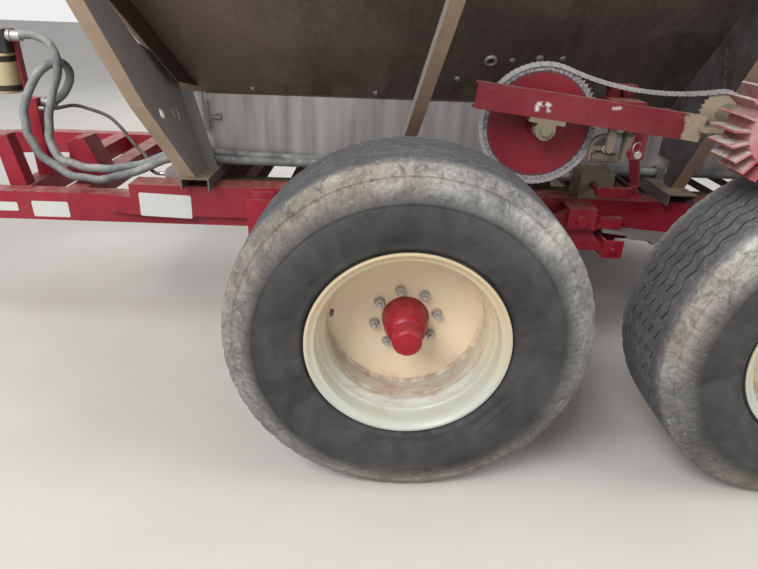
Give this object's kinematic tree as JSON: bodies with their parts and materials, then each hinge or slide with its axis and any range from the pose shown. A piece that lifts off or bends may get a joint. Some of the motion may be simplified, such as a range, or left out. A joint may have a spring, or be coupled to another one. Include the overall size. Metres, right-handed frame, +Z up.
{
  "type": "manure spreader",
  "caption": "Pull-type tandem-axle manure and litter spreader: V-shaped stainless hopper, floor conveyor, feed gate, spinner discs and a friction roller ground drive.",
  "frame": {"origin": "Middle of the bounding box at ground level, where the tyres and the parking jack stand.", "axes": "+X forward along the drawbar, +Y to the machine's left, +Z up."},
  "size_m": [6.71, 2.658, 2.24],
  "materials": {
    "red_paint": "weathered gloss",
    "stainless": "dull, stained",
    "cream_paint": "satin",
    "tyre_rubber": "worn and dusty",
    "bare_steel": "dusty",
    "dusty_iron": "dusty",
    "black_paint": "satin",
    "hose_rubber": "dusty",
    "filter_body": "gloss"
  },
  "bodies": {
    "frame": {"rail_left": "red_paint", "rail_right": "red_paint", "crossmembers": "red_paint", "drawbar_left": "red_paint", "drawbar_right": "red_paint", "hitch_clevis": "red_paint", "parking_jack": "red_paint", "axle_front": "red_paint", "axle_rear": "red_paint", "equalisers": "red_paint", "spinner_frame": "red_paint", "filter_stand": "red_paint", "valve_box": "red_paint", "cross_sills": "stainless", "hopper_left": "stainless", "hopper_right": "stainless", "hopper_front": "stainless", "hopper_rear": "stainless", "hopper_rim": "stainless", "supports_left": "stainless", "supports_right": "stainless", "conveyor_floor": "stainless", "gate_guides": "stainless", "flow_divider": "stainless", "leaf_springs": "bare_steel", "conveyor_shafts": "bare_steel", "jackshaft": "bare_steel", "conveyor_chain": "dusty_iron", "lift_gearbox": "dusty_iron", "spinner_motors": "black_paint", "hydraulic_filter": "filter_body", "pressure_hoses": "hose_rubber", "control_lines": "hose_rubber"},
    "drive_arm": {"drive_arm": "red_paint", "arm_bearings": "dusty_iron", "drive_chain": "bare_steel", "chain_tensioner": "bare_steel"},
    "lift_link": {"lift_link": "red_paint"},
    "lift_lever": {"lift_lever": "red_paint"},
    "drive_roller": {"drive_roller": "red_paint"},
    "large_sprocket": {"large_sprocket": "red_paint"},
    "feed_gate": {"feed_gate": "stainless"},
    "spinner_left": {"spinner_left": "stainless"},
    "spinner_right": {"spinner_right": "stainless"},
    "wheel_front_left": {"tyre_front_left": "tyre_rubber", "rim_front_left": "cream_paint", "hub_front_left": "red_paint"},
    "wheel_front_right": {"tyre_front_right": "tyre_rubber", "rim_front_right": "cream_paint", "hub_front_right": "red_paint"},
    "wheel_rear_left": {"tyre_rear_left": "tyre_rubber", "rim_rear_left": "cream_paint", "hub_rear_left": "red_paint"},
    "wheel_rear_right": {"tyre_rear_right": "tyre_rubber", "rim_rear_right": "cream_paint", "hub_rear_right": "red_paint"}
  },
  "joints": [
    {"name": "drive_arm_lift", "type": "hinge", "parent": "frame", "child": "drive_arm", "pos_m": [-0.72, 0.928, 1.13], "axis": [0, 1, 0], "range_deg": [-3.5, 6.5]},
    {"name": "drive_roller_spin", "type": "hinge", "parent": "drive_arm", "child": "drive_roller", "pos_m": [-1.28, 1.115, 1.19], "axis": [0, 1, 0], "continuous": true},
    {"name": "large_sprocket_spin", "type": "hinge", "parent": "drive_arm", "child": "large_sprocket", "pos_m": [-0.72, 0.86, 1.13], "axis": [0, 1, 0], "continuous": true},
    {"name": "lift_link_swing", "type": "hinge", "parent": "drive_arm", "child": "lift_link", "pos_m": [-1.015, 0.925, 1.065], "axis": [0, 1, 0], "range_deg": [-9, 5]},
    {"name": "lift_lever_turn", "type": "hinge", "parent": "frame", "child": "lift_lever", "pos_m": [-1.04, 0.68, 0.865], "axis": [0, 1, 0], "range_deg": [-8, 15]},
    {"name": "feed_gate_slide", "type": "slide", "parent": "frame", "child": "feed_gate", "axis": [0, 0, 1], "range_m": [0, 0.3]},
    {"name": "spinner_left_spin", "type": "hinge", "parent": "frame", "child": "spinner_left", "pos_m": [-3.05, 0.33, 0.64], "axis": [0, 0, 1], "continuous": true},
    {"name": "spinner_right_spin", "type": "hinge", "parent": "frame", "child": "spinner_right", "pos_m": [-3.05, -0.33, 0.64], "axis": [0, 0, 1], "continuous": true},
    {"name": "wheel_front_left_spin", "type": "hinge", "parent": "frame", "child": "wheel_front_left", "pos_m": [-0.32, 1.118, 0.554], "axis": [0, 1, 0], "continuous": true},
    {"name": "wheel_front_right_spin", "type": "hinge", "parent": "frame", "child": "wheel_front_right", "pos_m": [-0.32, -1.118, 0.554], "axis": [0, 1, 0], "continuous": true},
    {"name": "wheel_rear_left_spin", "type": "hinge", "parent": "frame", "child": "wheel_rear_left", "pos_m": [-1.64, 1.118, 0.554], "axis": [0, 1, 0], "continuous": true},
    {"name": "wheel_rear_right_spin", "type": "hinge", "parent": "frame", "child": "wheel_rear_right", "pos_m": [-1.64, -1.118, 0.554], "axis": [0, 1, 0], "continuous": true}
  ],
  "couplings": [
    {"joint": "large_sprocket_spin", "follows": "drive_roller_spin", "ratio": 0.33333},
    {"joint": "lift_link_swing", "follows": "drive_arm_lift", "ratio": -1.36},
    {"joint": "lift_lever_turn", "follows": "drive_arm_lift", "ratio": 2.2}
  ]
}
